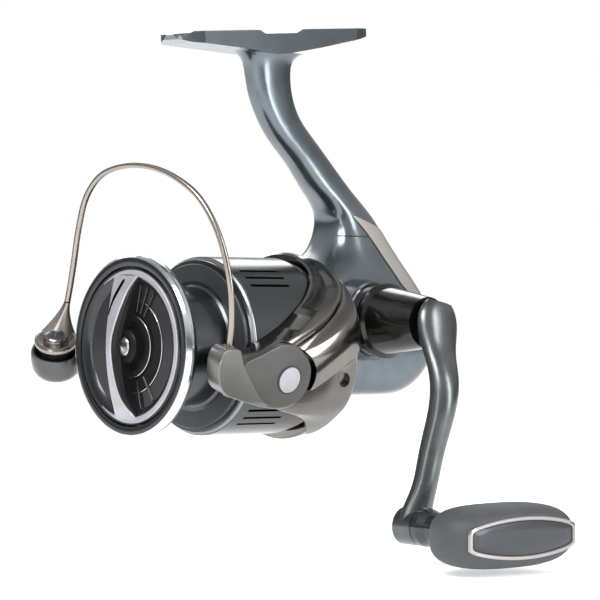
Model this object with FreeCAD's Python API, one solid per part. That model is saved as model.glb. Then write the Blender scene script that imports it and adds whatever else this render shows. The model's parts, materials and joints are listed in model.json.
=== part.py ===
import FreeCAD, Part
import math
import os

# Spinning reel.  The main shaft lies along X with the spool at -X, the crank is on the -Y side
# and the foot is above (+Z).  Everything is drawn with the crossing of the crank plane and the
# shaft axis at zero, and moved at the end so that a point on the foot's top face is zero: the
# middle of the foot is a shallow notch, so the point is on the flat just behind it.

FOOT_CENTRE = (-22.0, 86.4)      # x, z of the foot's top face in the drawing frame
FOOT_TILT = 4.28                 # degrees, rear end of the foot higher
FOOT_LENGTH = 71.0
FOOT_WIDTH = 17.0
SEAT_OFFSET = 10.0               # from the middle of the foot back to the point at zero
CRANK_Z = 7.55                   # height of the crank axis over the shaft axis
CRANK_RADIUS = 55.0
CRANK_ANGLE = 13.15              # degrees that the crank leans to the front from straight down
ROTOR_TILT = 15.0                # degrees that the rotor is turned about the shaft at rest
LIP_R = 24.5
SKIRT_R = 24.14
SKIRT_WALL = 0.9
SKIRT_FRONT = -43.96
SKIRT_REAR = -19.3
TRUNK_R = 16.0
LIP_FRONT = -67.9
KNOB_R = 21.0                    # drag knob
SHAFT_R = 2.0
ROTOR_FRONT = -38.5
ROTOR_REAR = -13.0
ROTOR_R = 22.6
RING_R = 25.7
RING_FRONT = -15.5
ARM_OUTER_R = 31.0
ARM_SEAT_R = 28.4
ARM_INNER_R = 24.8
PIVOT_X = -37.7
FRAME_FRONT = -12.5
GEAR_R = 10.4
PINION_R = 4.15
GEAR_TEETH = 54
PINION_TEETH = 9
WORM_TEETH = 20
WORM_Y = 7.0
WORM_Z = -6.0
SLIDER_X = 12.0
RUN = 0.05                       # radial running clearance

V = FreeCAD.Vector
os.makedirs("parts", exist_ok=True)


# ---- helpers -------------------------------------------------------------------------------

def save(node, shape):
    shape = shape.copy()
    tilt = math.radians(FOOT_TILT)
    zero = V(FOOT_CENTRE[0] + SEAT_OFFSET * math.cos(tilt), 0, FOOT_CENTRE[1] + SEAT_OFFSET * math.sin(tilt))
    shape.translate(zero * -1)
    if not shape.isValid():
        print("not valid:", node)
    shape.exportStep("parts/" + node + ".step")
    print(node, round(shape.Volume, 1), len(shape.Solids))


def tube(axis, start, end, r, bore=0.0, at=(0.0, 0.0)):
    """Round bar or tube along x or y, from start to end; at is its centre in the other two."""
    low, length = min(start, end), abs(end - start)
    if axis == "x":
        base, way = V(low, at[0], at[1]), V(1, 0, 0)
    else:
        base, way = V(at[0], low, at[1]), V(0, 1, 0)
    body = Part.makeCylinder(r, length, base, way)
    if bore:
        body = body.cut(Part.makeCylinder(bore, length, base, way))
    return body


def turned_x(profile):
    """Solid of revolution about the shaft from (x, radius) points."""
    wire = Part.makePolygon([V(x, 0, r) for x, r in profile + profile[:1]])
    return Part.Face(wire).revolve(V(0, 0, 0), V(1, 0, 0), 360)


def turned_y(profile, x, z):
    """Solid of revolution about a line along y from (y, radius) points."""
    wire = Part.makePolygon([V(x + r, y, z) for y, r in profile + profile[:1]])
    return Part.Face(wire).revolve(V(x, 0, z), V(0, 1, 0), 360)


def box(x, y, z):
    return Part.makeBox(x[1] - x[0], y[1] - y[0], z[1] - z[0], V(x[0], y[0], z[0]))


def closed_curve(points):
    curve = Part.BSplineCurve()
    curve.interpolate(points, PeriodicFlag=True)
    return Part.Wire(curve.toShape())


def plate(outline, y0, y1):
    """Flat plate between two y planes from an (x, z) outline."""
    points = [V(x, y0, z) for x, z in outline]
    wire = Part.makePolygon(points + points[:1])
    return Part.Face(wire).extrude(V(0, y1 - y0, 0))


def turn_x(shape, angle):
    shape = shape.copy()
    shape.rotate(V(0, 0, 0), V(1, 0, 0), angle)
    return shape


def rotor_place(shape):
    return turn_x(shape, ROTOR_TILT)


def both_sides(shape):
    return [shape, shape.mirror(V(0, 0, 0), V(0, 1, 0))]


def group(shapes):
    return Part.makeCompound(shapes)


def swept(points, radius):
    """Round bar along a smooth line."""
    curve = Part.BSplineCurve()
    curve.interpolate([V(*p) for p in points])
    path = Part.Wire(curve.toShape())
    way = curve.tangent(curve.FirstParameter)[0]
    ring = Part.Wire(Part.makeCircle(radius, V(*points[0]), way))
    return path.makePipeShell([ring], True, True)


def toothed(axis, start, end, root, tip, count, bore, at=(0.0, 0.0)):
    """Spur wheel with simple square teeth."""
    wheel = tube(axis, start, end, root, bore, at)
    width = 0.9 * math.pi * root / count
    low, length = min(start, end), abs(end - start)
    overlap = 0.3
    teeth = []
    for i in range(count):
        if axis == "x":
            tooth = Part.makeBox(length, width, tip - root + overlap,
                                 V(low, at[0] - width / 2, at[1] + root - overlap))
            tooth.rotate(V(0, at[0], at[1]), V(1, 0, 0), i * 360.0 / count)
        else:
            tooth = Part.makeBox(width, length, tip - root + overlap,
                                 V(at[0] - width / 2, low, at[1] + root - overlap))
            tooth.rotate(V(at[0], 0, at[1]), V(0, 1, 0), i * 360.0 / count)
        teeth.append(tooth)
    return wheel.fuse(teeth)


# ---- frame: foot, stem and gear housing ----------------------------------------------------

SECTIONS = [                     # z, front x, rear x, near y, far y, squareness
    (-13.5, -7.0, 20.0, -10.0, 8.5, 3.0),
    (-11.5, -11.0, 24.0, -14.8, 11.8, 4.0),
    (-6.0, -12.2, 29.0, -16.8, 13.8, 5.0),
    (3.0, -12.2, 32.6, -17.0, 14.0, 5.0),
    (12.0, -12.2, 30.6, -15.8, 13.6, 4.0),
    (18.0, -11.6, 27.5, -14.5, 12.5, 3.2),
    (24.0, -5.2, 23.0, -12.0, 10.0, 3.0),
    (30.0, -0.6, 18.6, -9.6, 8.2, 3.0),
    (36.0, 0.2, 14.6, -7.2, 7.0, 3.2),
    (43.0, -5.6, 8.0, -5.4, 5.4, 3.2),
    (50.0, -12.0, 1.2, -4.6, 4.6, 3.2),
    (57.0, -19.4, -5.7, -4.2, 4.2, 3.2),
    (63.0, -23.9, -11.2, -3.9, 3.9, 3.2),
    (69.0, -26.8, -13.9, -3.8, 3.8, 3.2),
    (75.5, -28.5, -14.6, -3.9, 3.9, 3.0),
    (80.5, -33.5, -10.0, -4.6, 4.6, 2.6),
]
SECTION_POINTS = 20
FRONT_SQUARE = 8.0               # squareness of the front corners behind the rotor
FRONT_TOP = 20.0                 # height up to which they are that square
CAVITY_Y = (-12.6, 11.6)
CAVITY = [(-10.9, -11.0), (-10.9, 12.5), (-6.0, 17.2), (0.0, 19.0), (12.0, 19.0), (24.0, 12.0),
          (28.4, 4.0), (28.6, 0.0), (22.0, -11.0)]
SPLIT_Y = -9.0
SPLIT_Z = 31.0
FAR_WALL_Y = 14.0


def foot():
    half = FOOT_LENGTH / 2
    outline = [(-half, -0.8), (-half + 0.8, -2.0), (-half + 3.5, -2.9), (-10.5, -5.4), (0, -6.6),
               (12.0, -5.2), (half - 1.5, -2.0), (half, -0.9), (half, -0.3), (half - 0.6, 0.0),
               (5.7, 0.0), (3.4, -1.0), (-7.6, -1.0), (-9.8, 0.0), (-half + 3.8, 0.0),
               (-half + 3.0, -0.4), (-half + 2.3, -1.4), (-half + 1.3, -1.3), (-half + 0.4, -0.5)]
    side = plate(outline, -FOOT_WIDTH / 2, FOOT_WIDTH / 2)
    plan = [V(-half, 0, -10), V(-half + 4, FOOT_WIDTH * 0.42, -10), V(0, FOOT_WIDTH / 2, -10),
            V(half - 6, FOOT_WIDTH * 0.40, -10), V(half, 0, -10), V(half - 6, -FOOT_WIDTH * 0.40, -10),
            V(0, -FOOT_WIDTH / 2, -10), V(-half + 4, -FOOT_WIDTH * 0.42, -10)]
    prism = Part.Face(closed_curve(plan)).extrude(V(0, 0, 20))
    blank = side.common(prism)
    blank.rotate(V(0, 0, 0), V(0, 1, 0), -FOOT_TILT)
    blank.translate(V(FOOT_CENTRE[0], 0, FOOT_CENTRE[1]))
    return blank


def section(z, front, rear, near, far, square):
    """Level outline between a circle-like oval and a rounded box."""
    points = []
    for i in range(SECTION_POINTS):
        t = 2 * math.pi * (i + 0.5) / SECTION_POINTS
        power = FRONT_SQUARE if math.cos(t) < 0 and z < FRONT_TOP else square
        scale = (abs(math.cos(t)) ** power + abs(math.sin(t)) ** power) ** (-1.0 / power)
        points.append(V((front + rear) / 2 + (rear - front) / 2 * math.cos(t) * scale,
                        (near + far) / 2 + (far - near) / 2 * math.sin(t) * scale, z))
    return closed_curve(points)


def stem_and_housing():
    body = Part.makeLoft([section(*row) for row in SECTIONS], True, False)
    return body.cut(box((-40, FRAME_FRONT), (-30, 30), (-20, 36)))


def frame_solids():
    outer = stem_and_housing().fuse(foot())
    outer = outer.cut(plate(CAVITY, CAVITY_Y[0], CAVITY_Y[1]))
    neck = tube("x", -18.6, -10.9, 12.0)
    outer = outer.fuse(neck).cut(tube("x", -20, -10.8, 7.05))
    outer = outer.cut(tube("y", 5, 20, 5.05, 0, (0, CRANK_Z)))
    cutter = box((FRAME_FRONT - 0.1, 60), (-60, SPLIT_Y), (-30, SPLIT_Z))
    plate_side = outer.common(cutter).cut(neck)
    outer = outer.cut(plate_side)
    return outer, plate_side


def side_plate(blank):
    boss = turned_y([(-12.7, 0.01), (-12.7, 11.4), (-22.0, 10.9), (-22.0, 0.01)], 0, CRANK_Z)
    solid = blank.fuse(boss).cut(tube("y", -25, -10, 5.05, 0, (0, CRANK_Z)))
    return solid.cut(tube("x", -20, FRAME_FRONT + 2, 12.02))


def rear_guard():
    """Bright cover strip down the back edge of the housing."""
    outline = [(12.0, 39.5), (15.2, 36.4), (19.4, 30.4), (23.8, 24.2), (28.3, 18.0), (31.4, 12.0),
               (33.0, 6.0), (32.0, 4.0), (29.9, 8.0), (28.2, 13.5), (25.0, 18.4), (20.6, 24.2),
               (16.4, 30.2), (12.6, 35.4), (11.6, 38.0)]
    return plate(outline, -5.0, 5.0)


def frame_nodes():
    frame, blank = frame_solids()
    guard = rear_guard()
    frame = max(frame.cut(guard).Solids, key=lambda s: s.Volume)
    holes = [(-5.0, -3.0), (22.0, -3.0), (21.0, 12.0), (-5.5, 14.0)]
    bores = [tube("y", 11, 20, 1.6, 0, (x, z)) for x, z in holes]
    screws = [tube("y", 11.7, FAR_WALL_Y - 0.7, 1.55, 0, (x, z)) for x, z in holes]
    save("frame_housing", frame.cut(group(bores)))
    save("housing_screws", group(screws))
    save("side_plate", max(side_plate(blank).cut(guard).Solids, key=lambda s: s.Volume))
    save("rear_guard", guard)
    save("handle_seat_ring", turned_y([(-22.1, 5.1), (-22.1, 10.6), (-23.4, 10.6), (-23.4, 9.6),
                                       (-24.6, 9.6), (-24.6, 5.1)], 0, CRANK_Z))
    save("drive_bearing_crank_side", tube("y", -21.5, -18.5, 5.0, 3.05, (0, CRANK_Z)))
    save("drive_bearing_far_side", tube("y", 10.2, 13.2, 5.0, 3.05, (0, CRANK_Z)))
    save("axle_cap", turned_y([(14.45, 0.01), (14.45, 9.0), (17.0, 8.2), (18.2, 6.6), (18.6, 0.01)],
                              0, CRANK_Z))
    save("clutch_housing", tube("x", -32.0, -18.7, 12.0, 8.85))
    save("roller_clutch", tube("x", -31.0, -21.0, 8.8, 5.5))
    save("pinion_bearing", tube("x", -18.0, -14.6, 7.0, 3.5))
    screws = [tube("x", -33.2, -32.02, 0.9, 0, (10.3 * math.cos(a), 10.3 * math.sin(a)))
              for a in (0.5, 2.6, 4.7)]
    save("clutch_screws", group(screws))
    worm_at = (WORM_Y, WORM_Z)
    save("worm_bushes", group([tube("x", -10.85, -9.7, 3.2, 1.3, worm_at),
                               tube("x", 22.1, 22.9, 2.3, 1.3, worm_at)]))
    save("guide_rail", tube("x", -10.8, 21.5, 0.7, 0, (2.0, -10.1)))


# ---- crank -------------------------------------------------------------------------------------

def crank_point(radius, y):
    a = math.radians(CRANK_ANGLE)
    return V(-radius * math.sin(a), y, CRANK_Z - radius * math.cos(a))


ARM = [                          # distance from the axis, y of the centre, half width, half depth
    (-5.6, -46.0, 4.2, 2.0), (-3.0, -46.2, 6.1, 2.9), (0.0, -46.6, 6.8, 3.4), (6.0, -48.4, 6.0, 3.6),
    (13.0, -52.2, 4.8, 3.5), (20.0, -54.4, 4.2, 3.4), (28.0, -54.3, 3.8, 3.3), (38.0, -53.6, 3.6, 3.1),
    (47.0, -53.0, 3.9, 3.1), (51.0, -52.4, 4.6, 3.3), (55.0, -52.3, 5.0, 3.3), (58.6, -52.3, 3.4, 2.6),
]


def crank_arm():
    a = math.radians(CRANK_ANGLE)
    across = V(math.cos(a), 0, -math.sin(a))
    wires = []
    for radius, y, half, depth in ARM:
        centre = crank_point(radius, y)
        points = []
        for i in range(12):
            t = math.radians(i * 30)
            points.append(centre + across * (half * math.cos(t)) + V(0, depth * math.sin(t), 0))
        wires.append(closed_curve(points))
    return Part.makeLoft(wires, True, False)


def crank_nodes():
    collar = turned_y([(-24.9, 3.05), (-24.9, 9.6), (-26.2, 10.2), (-27.3, 10.2), (-28.0, 9.2),
                       (-36.0, 8.0), (-43.0, 6.9), (-43.0, 3.05)], 0, CRANK_Z)
    save("handle_collar", collar)
    arm = crank_arm().cut(tube("y", -43.02, -40, 12, 0, (0, CRANK_Z)))
    tip = crank_point(CRANK_RADIUS, 0)
    boss = tube("y", -55.6, -49.0, 5.0, 0, (tip.x, tip.z))
    arm = arm.fuse(boss).cut(tube("y", -60, -46, 2.05, 0, (tip.x, tip.z)))
    save("handle_arm", arm)
    save("drive_shaft", tube("y", -43.0, 14.0, 3.0, 0, (0, CRANK_Z)))
    save("drive_gear", toothed("y", -10.2, -6.9, GEAR_R - 0.9, GEAR_R, GEAR_TEETH, 3.02, (0, CRANK_Z)))
    save("knob_pin", tube("y", -88.0, -49.0, 2.0, 0, (tip.x, tip.z)))
    save("handle_spacer", tube("y", -18.4, -10.3, 4.2, 3.02, (0, CRANK_Z)))


# ---- handle knob -------------------------------------------------------------------------------

GRIP = [                         # y, half length along x, half height along z
    (-68.0, 4.6, 4.4), (-70.5, 7.0, 5.2), (-74.0, 14.0, 6.6), (-78.0, 19.0, 7.6), (-82.5, 21.0, 7.9),
    (-87.0, 20.9, 7.6), (-90.5, 19.0, 6.6), (-92.6, 16.4, 5.2),
]


def knob_nodes():
    tip = crank_point(CRANK_RADIUS, 0)
    wires = []
    for y, reach, half in GRIP:
        points = []
        for i in range(16):
            t = math.radians(i * 22.5)
            fat = (abs(math.cos(t)) ** 3 + abs(math.sin(t)) ** 3) ** (-1.0 / 3)
            points.append(V(tip.x + reach * math.cos(t) * fat, y, tip.z + half * math.sin(t) * fat))
        wires.append(closed_curve(points))
    pocket = box((tip.x - 15.2, tip.x + 15.2), (-94, -91.4), (tip.z - 3.7, tip.z + 3.7))
    core_hole = tube("y", -88.6, -60, 3.4, 0, (tip.x, tip.z))
    grip = Part.makeLoft(wires, True, False).cut(core_hole).cut(pocket)
    save("knob_grip", grip)
    neck = turned_y([(-56.0, 2.3), (-56.0, 5.1), (-58.0, 5.1), (-60.5, 4.4), (-64.0, 4.2),
                     (-67.9, 4.5), (-67.9, 3.35), (-88.4, 3.35), (-88.4, 3.2), (-67.5, 3.2),
                     (-67.5, 2.3)], tip.x, tip.z)
    save("knob_neck", neck)
    save("knob_bearings", group([tube("y", -72.0, -69.6, 3.15, 2.05, (tip.x, tip.z)),
                                 tube("y", -87.6, -85.2, 3.15, 2.05, (tip.x, tip.z))]))
    ring = box((tip.x - 15.1, tip.x + 15.1), (-92.6, -91.4), (tip.z - 3.6, tip.z + 3.6))
    hollow = box((tip.x - 13.8, tip.x + 13.8), (-93, -91), (tip.z - 2.7, tip.z + 2.7))
    save("knob_frame", ring.cut(hollow))
    save("knob_panel", box((tip.x - 13.7, tip.x + 13.7), (-92.3, -91.4), (tip.z - 2.6, tip.z + 2.6)))


# ---- spool and drag ------------------------------------------------------------------------

SLOT_CLUSTERS = (-138.5, -41.5, 39.0, 141.0)
SLOT_STEP = 7.2


def spool_nodes():
    inner = SKIRT_R - SKIRT_WALL
    body = turned_x([
        (-67.2, 21.4), (-67.2, 22.9), (-65.4, 22.9), (-65.4, 24.0), (-64.6, 24.0), (-62.2, 16.7),
        (-61.4, TRUNK_R), (-47.2, TRUNK_R), (-46.6, 16.6), (-46.2, 22.2), (-45.4, 22.4),
        (-45.4, 23.2), (-44.4, 23.4), (SKIRT_FRONT, SKIRT_R), (SKIRT_REAR, SKIRT_R),
        (SKIRT_REAR, inner), (-42.0, inner), (-42.6, 22.6), (-42.6, 14.6), (-59.8, 14.6),
        (-59.8, 7.0), (-51.0, 7.0), (-51.0, 4.6), (-61.4, 4.6), (-61.4, 15.2), (-65.5, 15.2),
        (-65.5, 21.4)])
    slots = []
    for cluster in SLOT_CLUSTERS:
        for step in (-SLOT_STEP, 0.0, SLOT_STEP):
            slot = box((-41.0, -27.5), (-0.45, 0.45), (20, 26))
            slots.append(turn_x(slot, cluster + step))
    save("spool", body.cut(group(slots)))
    save("spool_lip", turned_x([(LIP_FRONT, 22.95), (LIP_FRONT, 23.7), (-67.2, 24.3), (-66.6, LIP_R),
                                (-65.9, LIP_R), (-65.45, 24.1), (-65.45, 22.95)]))
    washers = [tube("x", x, x + 0.8, 14.8, 5.4) for x in (-62.5, -63.4, -64.3)]
    save("drag_washers", group(washers))
    save("drag_retainer", tube("x", -65.2, -64.6, 15.1, 13.6))
    save("spool_bearings", group([tube("x", -61.2, -58.8, 4.55, 2.95),
                                  tube("x", -54.0, -51.6, 4.55, 2.95)]))


def drag_knob_nodes():
    disc = turned_x([(LIP_FRONT, 0.01), (LIP_FRONT, KNOB_R), (-65.85, KNOB_R), (-65.85, 0.01)])
    pocket = tube("x", -69, -66.9, 19.0)
    disc = disc.cut(pocket)
    slab = box((-71.6, -66.8), (1.9, 4.3), (-18.6, 18.6))
    dome = tube("y", 0, 6, 47.5, 0, (-71.9 + 47.5, 0))
    bar = slab.common(dome)
    knob = disc.fuse(bar).cut(tube("x", -73, -60, SHAFT_R + 0.6))
    save("drag_knob", knob)
    save("drag_knob_trim", tube("x", -68.3, LIP_FRONT - 0.01, 20.9, 19.1))
    save("drag_nut", tube("x", -70.2, -66.92, 4.3, SHAFT_R + RUN).common(
        tube("x", -70.2, -66.9, 4.3).cut(box((-71, -66), (1.88, 6), (-6, 6)))))
    save("drag_nut_cap", turned_x([(-70.25, 0.01), (-70.25, 1.85), (-70.9, 1.2), (-71.1, 0.01)]))
    save("drag_spring", tube("x", -65.8, -65.25, 5.0, 2.7))


# ---- main shaft ----------------------------------------------------------------------------

def shaft_nodes():
    save("main_shaft", tube("x", -69.9, SLIDER_X + 7.5, SHAFT_R))
    save("spool_support", tube("x", -61.3, -50.8, 2.9, 2.02).fuse(tube("x", -50.8, -49.8, 6.4, 2.02)))
    save("click_ratchet", toothed("x", -49.75, -48.6, 5.2, 6.0, 24, 2.02))
    block = box((SLIDER_X, SLIDER_X + 7.0), (-3.4, 9.9), (-9.3, 2.3))
    block = block.cut(tube("x", 0, 40, 2.02)).cut(tube("x", 0, 40, 2.55, 0, (WORM_Y, WORM_Z)))
    pin_hole = Part.makeCylinder(1.2, 8, V(SLIDER_X + 3.5, WORM_Y, WORM_Z + 2.6), V(0, 0, 1))
    save("slider_block", block.cut(pin_hole))
    pin = Part.makeCylinder(1.15, 5.8, V(SLIDER_X + 3.5, WORM_Y, WORM_Z + 3.0), V(0, 0, 1))
    save("slider_pin", pin)
    save("slider_screw", tube("x", SLIDER_X + 7.55, SLIDER_X + 9.0, 2.6))


def worm_nodes():
    at = (WORM_Y, WORM_Z)
    worm = tube("x", -8.6, 22.0, 2.2, 0, at)
    grooves = [tube("x", x, x + 0.9, 2.3, 1.7, at) for x in range(-2, 21, 3)]
    ends = [tube("x", -10.6, -8.6, 1.2, 0, at), tube("x", 22.0, 22.8, 1.2, 0, at)]
    save("worm_shaft", worm.cut(group(grooves)).fuse(ends))
    save("worm_gear", toothed("x", -8.4, -5.4, 3.9, 4.55, WORM_TEETH, 2.22, at))


# ---- rotor ---------------------------------------------------------------------------------

ROTOR_ARM = [                    # outline of a rotor arm seen square on, x and z
    (-50.8, 2.0), (-49.0, 4.8), (-45.0, 7.8), (-39.5, 10.0), (-34.0, 12.9), (-29.0, 16.2),
    (-25.0, 19.2), (-22.0, 22.2), (-20.0, 24.5), (ROTOR_REAR, 24.5), (ROTOR_REAR, -12.0),
    (-16.0, -15.0), (-22.0, -16.5), (-31.0, -16.0), (-38.0, -13.0), (-44.0, -7.0), (-48.4, -3.0),
]
RAISED = [                       # outline of the swept outer band of an arm
    (-48.6, 5.4), (-45.0, 8.0), (-39.5, 10.2), (-34.0, 13.1), (-29.0, 16.4), (-25.0, 19.4),
    (-22.0, 22.4), (-20.0, 24.5), (ROTOR_REAR, 24.5), (ROTOR_REAR, 5.2), (-18.7, 2.3),
    (-22.3, -0.2), (-26.2, -2.8), (-29.0, -4.6), (PIVOT_X, -4.6), (-48.0, 4.0),
]
SPRING_COVER = [                 # outline of the cover below the band
    (-33.0, -9.2), (-26.5, -3.6), (-22.3, -1.0), (-18.7, 1.4), (-14.4, 3.0), (-14.0, -3.5),
    (-14.6, -8.5), (-17.0, -12.5), (-20.5, -14.6), (-25.5, -15.2),
]
HOLDER_PLATE = [                 # outline of the bail wire holder round its pivot
    (-54.2, 3.6), (-48.3, 7.0), (-42.7, 9.5), (-37.8, 9.4), (-33.6, 6.9), (-30.8, 3.4),
    (-30.2, -0.2), (-30.9, -3.4), (-33.4, -6.2), (-38.0, -7.7), (-42.1, -7.5), (-48.0, -6.2),
    (-54.0, -4.8), (-59.8, -3.0),
]
HOLDER_SHOE = [                  # outline of the thick end that the wire goes into
    (-54.2, 3.6), (-56.2, 6.4), (-57.4, 8.2), (-62.4, 8.0), (-63.6, 5.2), (-62.6, 0.8),
    (-61.2, -1.8), (-59.4, -3.2), (-53.4, -5.0), (-50.4, -2.0),
]
SEAT_R = 9.0                     # round seat that the wire holder turns in
LEVER_SEAT_R = 13.0              # round seat on the far side
FAR_TOP = 15.0                   # height of the far arm, which is lower than the near one
COVER_SCREW = (-16.9, -0.6)      # x, z


def about_pivot(outline, factor):
    return [(PIVOT_X + factor * (x - PIVOT_X), factor * z) for x, z in outline]


def rotor_arm(top, seat):
    """Arm on the -Y side, cut off level at top, with its bail end seat."""
    limit = box((-60, ROTOR_REAR), (-40, 0), (-30, top))
    low = tube("x", -60, ROTOR_REAR, ARM_SEAT_R, ARM_INNER_R).common(plate(ROTOR_ARM, -40, 0))
    band = tube("x", -60, ROTOR_REAR, ARM_OUTER_R, ARM_INNER_R).common(plate(RAISED, -40, 0))
    arm = low.fuse(band.cut(seat)).common(limit)
    return arm.cut(tube("y", -40, 0, 2.1, 0, (PIVOT_X, 0)))


def arm_cover():
    """Cover of the spring pocket, below the swept band."""
    wall = tube("x", -60, ROTOR_REAR, ARM_SEAT_R + 0.02, 27.2)
    return wall.common(plate(SPRING_COVER, -40, 0))


def rotor_nodes():
    cup = turned_x([
        (ROTOR_FRONT, 3.6), (ROTOR_FRONT, ROTOR_R), (RING_FRONT, ROTOR_R), (RING_FRONT, RING_R),
        (-13.8, RING_R), (ROTOR_REAR, RING_R - 0.8), (ROTOR_REAR, 21.0),
        (-36.4, 21.0), (-36.4, 3.6)])
    covers = both_sides(arm_cover())
    round_seat = tube("y", -40, -ARM_SEAT_R, SEAT_R, 0, (PIVOT_X, 0))
    holder_seat = plate(about_pivot(HOLDER_PLATE, 1.05), -40, -ARM_SEAT_R)
    near_arm = rotor_arm(ARM_OUTER_R, round_seat.fuse(holder_seat))
    lever_seat = tube("y", -40, -ARM_SEAT_R, LEVER_SEAT_R, 0, (PIVOT_X, 0))
    far_arm = rotor_arm(FAR_TOP, lever_seat).mirror(V(0, 0, 0), V(0, 1, 0))
    arms = [near_arm, far_arm]
    screw_holes = both_sides(tube("y", -32, -25.6, 1.5, 0, COVER_SCREW))
    rotor = cup.fuse(arms).cut(group(covers)).cut(group(screw_holes))
    rotor = rotor.cut(tube("x", -50, -30, 3.6))
    save("rotor", rotor_place(rotor.removeSplitter()))
    save("arm_cover_wire_side", rotor_place(covers[0].cut(screw_holes[0])))
    save("arm_cover_roller_side", rotor_place(covers[1].cut(screw_holes[1])))
    screws = both_sides(tube("y", -28.0, -25.62, 1.45, 0, COVER_SCREW))
    save("cover_screws", rotor_place(group(screws)))
    save("pinion_gear", toothed("x", -8.6, -4.0, 3.4, PINION_R, PINION_TEETH, SHAFT_R + RUN).fuse(
        tube("x", -42.6, -8.6, 3.4, SHAFT_R + RUN)))
    save("clutch_sleeve", tube("x", -32.4, -20.0, 5.4, 3.42))
    nut = Part.Face(Part.makePolygon([V(-42.4, 6.4 * math.cos(math.radians(60 * i)),
                                        6.4 * math.sin(math.radians(60 * i))) for i in range(7)]))
    save("rotor_nut", nut.extrude(V(3.2, 0, 0)).cut(tube("x", -50, -30, 3.42)))
    save("nut_retainer", tube("x", -39.15, -38.55, 8.2, 3.62))


# ---- bail ----------------------------------------------------------------------------------

ROLLER = (-68.1, 30.1, -10.6)     # centre of the line roller in the rotor's own frame
ROLLER_AXIS = (-0.37, -0.19, 0.91)
WIRE = [                         # from the holder over the top to the roller, x y z
    (-58.6, -28.6, 7.2), (-59.5, -28.4, 16.0), (-60.8, -26.2, 26.0), (-62.4, -21.0, 36.0),
    (-63.8, -13.0, 43.4), (-65.2, -4.0, 46.7), (-66.4, 6.0, 47.4), (-67.3, 16.5, 45.3),
    (-68.0, 25.6, 40.4), (-68.4, 30.6, 33.0), (-68.6, 31.8, 24.0), (-68.3, 31.6, 14.0),
    (-67.6, 31.5, 3.0), (-66.9, 31.5, -6.4),
]
COVER_R = 5.8                    # teardrop cover at the end of the wire
ARM_END_R = 6.8
ROLLER_R = 4.6


def along_roller(start, end, r, bore=0.0):
    axis = V(*ROLLER_AXIS)
    base = V(*ROLLER) + axis * start
    body = Part.makeCylinder(r, end - start, base, axis)
    if bore:
        body = body.cut(Part.makeCylinder(bore, end - start, base, axis))
    return body


def bail_nodes():
    holder = plate(HOLDER_PLATE, -30.9, -28.7).fuse(plate(HOLDER_SHOE, -31.5, -26.2))
    holder = holder.cut(tube("y", -35, -20, 1.55, 0, (PIVOT_X, 0)))
    wire = swept(WIRE, 0.85)
    save("bail_holder", rotor_place(holder.cut(wire).removeSplitter()))
    save("bail_wire", rotor_place(wire))
    cap = tube("y", -31.2, -30.92, 3.5, 0, (PIVOT_X, 0)).fuse(tube("y", -30.92, -25.2, 1.5, 0, (PIVOT_X, 0)))
    save("bail_pivot_cap", rotor_place(cap))
    lever_outline = [(PIVOT_X + 9.2 * math.cos(math.radians(a)), 9.2 * math.sin(math.radians(a)))
                     for a in range(-90, 91, 15)]
    lever_outline += [(-48.0, 6.0), (-62.0, -2.6), (-62.0, -14.6), (-51.0, -9.6)]
    lever = plate(lever_outline, 28.8, 31.6).fuse(
        plate([(-60.0, -2.0), (-58.0, -14.0), (-62.0, -18.4), (-68.5, -18.0), (-70.0, -14.5), (-66.0, -9.0)],
              28.8, 31.6))
    end = along_roller(-6.8, -3.2, ARM_END_R)
    lever = lever.fuse(end).cut(along_roller(-3.2, 8.0, ARM_END_R + 0.2)).cut(along_roller(-8, 8, 1.3))
    lever = lever.cut(tube("y", 20, 35, 1.55, 0, (PIVOT_X, 0)))
    save("bail_arm", rotor_place(max(lever.Solids, key=lambda s: s.Volume)))
    screw = tube("y", 31.62, 32.2, 3.5, 0, (PIVOT_X, 0)).fuse(tube("y", 25.2, 31.62, 1.5, 0, (PIVOT_X, 0)))
    save("bail_pivot_screw", rotor_place(screw))
    cover = along_roller(2.6, 4.4, COVER_R).cut(along_roller(0, 8, 1.3)).cut(wire)
    save("roller_cover", rotor_place(max(cover.Solids, key=lambda s: s.Volume)))
    bolt = along_roller(-6.6, 4.8, 1.25).fuse(along_roller(4.42, 5.4, 2.6))
    save("roller_bolt", rotor_place(bolt))
    save("roller_bearing", rotor_place(along_roller(-2.6, 2.2, 2.3, 1.27)))
    save("line_roller", rotor_place(along_roller(-2.9, 2.3, ROLLER_R, 2.35)))


frame_nodes()
crank_nodes()
knob_nodes()
spool_nodes()
drag_knob_nodes()
shaft_nodes()
worm_nodes()
rotor_nodes()
bail_nodes()
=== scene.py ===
import json
import math
import bmesh
import bpy
from mathutils import Matrix, Vector
from mathutils.bvhtree import BVHTree


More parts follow.
